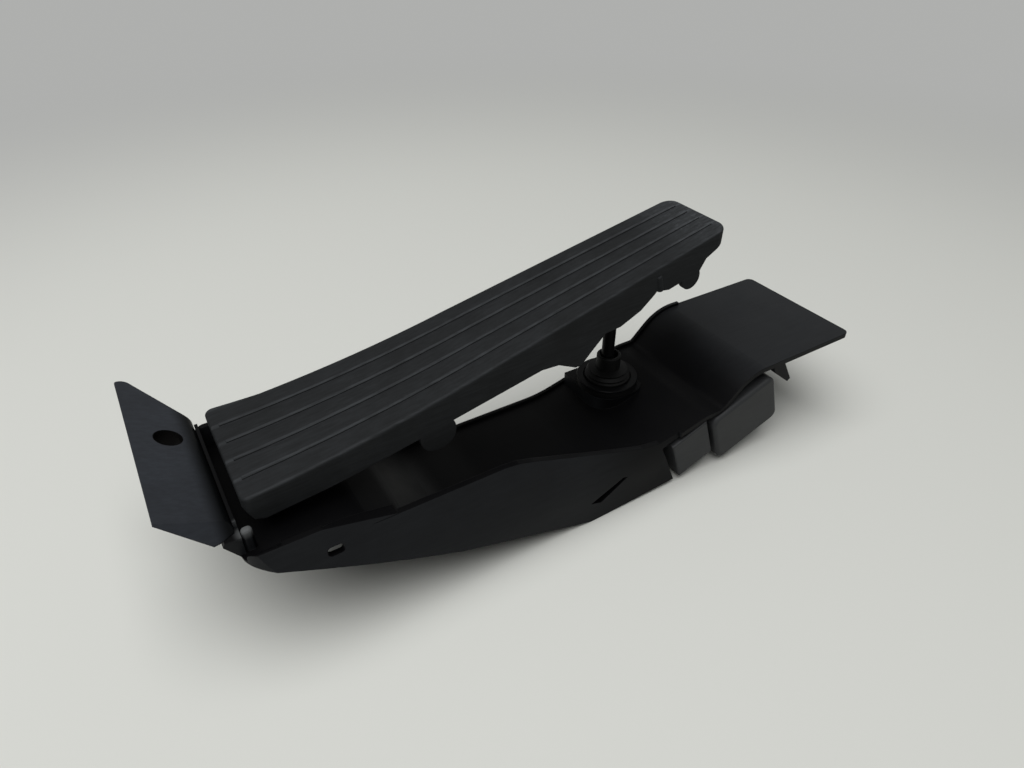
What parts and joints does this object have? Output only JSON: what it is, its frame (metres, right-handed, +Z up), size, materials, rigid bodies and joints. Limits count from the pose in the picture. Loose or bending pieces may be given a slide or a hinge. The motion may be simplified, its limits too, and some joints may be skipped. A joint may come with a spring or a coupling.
{
  "type": "floor-hinged accelerator pedal module",
  "caption": "Floor-hinged electronic accelerator pedal: ribbed pad on a moulded base, push rod with rubber boot, tilted sensor box and heel bolting plate.",
  "frame": {"origin": "on the flat sole, straight under the push rod's ball", "axes": "+X from heel hinge to toe, +Z up off the sole, +Y to the far side where the heel plate's bolt wing is"},
  "size_m": [0.2988, 0.1062, 0.1036],
  "materials": {
    "base_plastic": "satin",
    "sensor_plastic": "satin",
    "pad_plastic": "matte",
    "rod_plastic": "satin",
    "ring_plastic": "satin",
    "bush_plastic": "matte",
    "boot_rubber": "matte",
    "steel": "satin",
    "spring_steel": "satin",
    "magnet_metal": "matte",
    "contact_brass": "satin",
    "board_laminate": "matte"
  },
  "bodies": {
    "base": {"base_moulding": "base_plastic", "heel_plate": "base_plastic", "heel_pin": "steel", "bottom_cover": "base_plastic", "cover_screws": "steel", "rod_boot": "boot_rubber", "boot_ring": "ring_plastic", "sensor_housing": "sensor_plastic", "sensor_cover": "sensor_plastic", "sensor_board": "board_laminate", "connector_pins": "contact_brass", "side_cap": "sensor_plastic", "shaft_bushes": "bush_plastic", "return_spring_outer": "spring_steel", "return_spring_inner": "spring_steel", "lever_buffer": "boot_rubber"},
    "pad": {"pedal_pad": "pad_plastic", "pad_bushes": "bush_plastic", "rod_socket": "pad_plastic"},
    "rod": {"pushrod": "rod_plastic"},
    "lever": {"sensor_lever": "rod_plastic", "lever_shaft": "steel", "magnet_carrier": "rod_plastic", "magnet": "magnet_metal"}
  },
  "joints": [
    {"name": "pad_hinge", "type": "hinge", "parent": "base", "child": "pad", "pos_m": [-0.158, 0, 0.053], "axis": [0, 1, 0], "range_deg": [0, 9], "stiffness_Nm_per_rad": 10, "springref_deg": -8.59},
    {"name": "rod_swing", "type": "hinge", "parent": "pad", "child": "rod", "pos_m": [0, 0, 0.08], "axis": [0, 1, 0], "range_deg": [-7, 1]},
    {"name": "lever_turn", "type": "hinge", "parent": "base", "child": "lever", "pos_m": [0.0448, 0, 0.0195], "axis": [0, -1, 0], "range_deg": [0, 31.2], "deforming": ["return_spring_outer", "return_spring_inner"]}
  ],
  "couplings": [
    {"joint": "rod_swing", "follows": "pad_hinge", "ratio": -0.71},
    {"joint": "lever_turn", "follows": "pad_hinge", "ratio": 3.4578}
  ]
}
